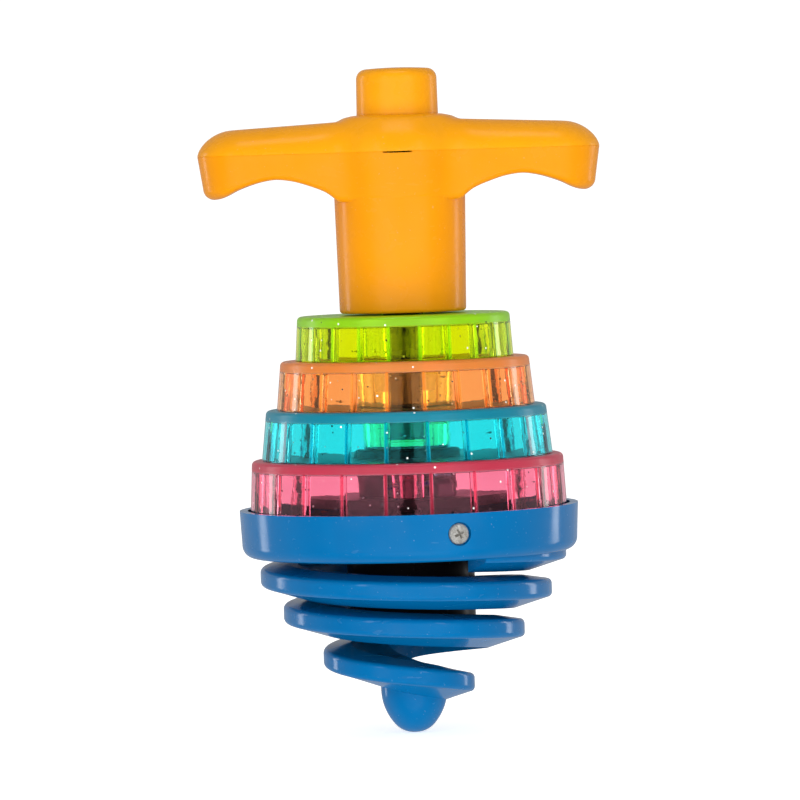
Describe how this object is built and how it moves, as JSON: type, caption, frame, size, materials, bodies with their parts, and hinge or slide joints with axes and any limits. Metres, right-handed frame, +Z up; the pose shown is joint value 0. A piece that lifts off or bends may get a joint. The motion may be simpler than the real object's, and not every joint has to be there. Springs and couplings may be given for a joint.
{
  "type": "spinning top with launcher",
  "caption": "Light-up spinning top: stacked clear tiers over a cup and an open conical spiral base, carried on a T-handle launcher with a release button.",
  "frame": {"origin": "tip of the rounded nose, on the spin axis", "axes": "+Z up the spin axis from the nose to the button; the handle's arms lie along X, and the front is towards -Y"},
  "size_m": [0.0844, 0.0712, 0.1398],
  "materials": {
    "orange_plastic": "moulded, glossy",
    "amber_plastic": "moulded, glossy",
    "blue_plastic": "moulded, glossy",
    "black_plastic": "moulded",
    "clear_green": "clear tinted styrene",
    "clear_orange": "clear tinted styrene",
    "clear_teal": "clear tinted styrene",
    "clear_pink": "clear tinted styrene",
    "steel": "drawn wire and bar",
    "zinc": "zinc plated",
    "cell_steel": "nickel plated",
    "contact_brass": "stamped",
    "board": "solder mask",
    "lamp_plastic": "water clear resin",
    "blue_wire": "insulation",
    "dark_wire": "insulation"
  },
  "bodies": {
    "launcher": {"handle_body": "orange_plastic", "handle_cover": "amber_plastic", "power_spring": "steel", "thrust_washer": "steel", "spindle_retainer": "orange_plastic", "retainer_screws": "zinc", "handle_screws": "zinc", "button_spring": "steel"},
    "button": {"release_button": "amber_plastic", "push_rod": "steel"},
    "spindle": {"drive_spindle": "black_plastic"},
    "top": {"green_tier": "clear_green", "orange_tier": "clear_orange", "teal_tier": "clear_teal", "pink_tier": "clear_pink", "spiral_base": "blue_plastic", "body_screws": "zinc", "module_housing": "black_plastic", "module_screws": "zinc", "circuit_board": "board", "motion_switch": "zinc", "led_lamps": "lamp_plastic", "led_wire_blue": "blue_wire", "led_wire_dark": "dark_wire", "battery_cradle": "black_plastic", "button_cells": "cell_steel", "contact_plate": "contact_brass", "contact_spring": "steel", "battery_cover": "black_plastic", "cover_screws": "zinc"}
  },
  "joints": [
    {"name": "button_press", "type": "slide", "parent": "launcher", "child": "button", "axis": [0, 0, -1], "range_m": [0, 0.004], "stiffness_N_per_m": 250, "springref_m": -0.004, "deforming": ["button_spring"]},
    {"name": "spindle_spin", "type": "hinge", "parent": "launcher", "child": "spindle", "pos_m": [0, 0, 0.1], "axis": [0, 0, 1], "continuous": true},
    {"name": "top_release", "type": "slide", "parent": "spindle", "child": "top", "axis": [0, 0, -1], "range_m": [0, 0.029]}
  ]
}
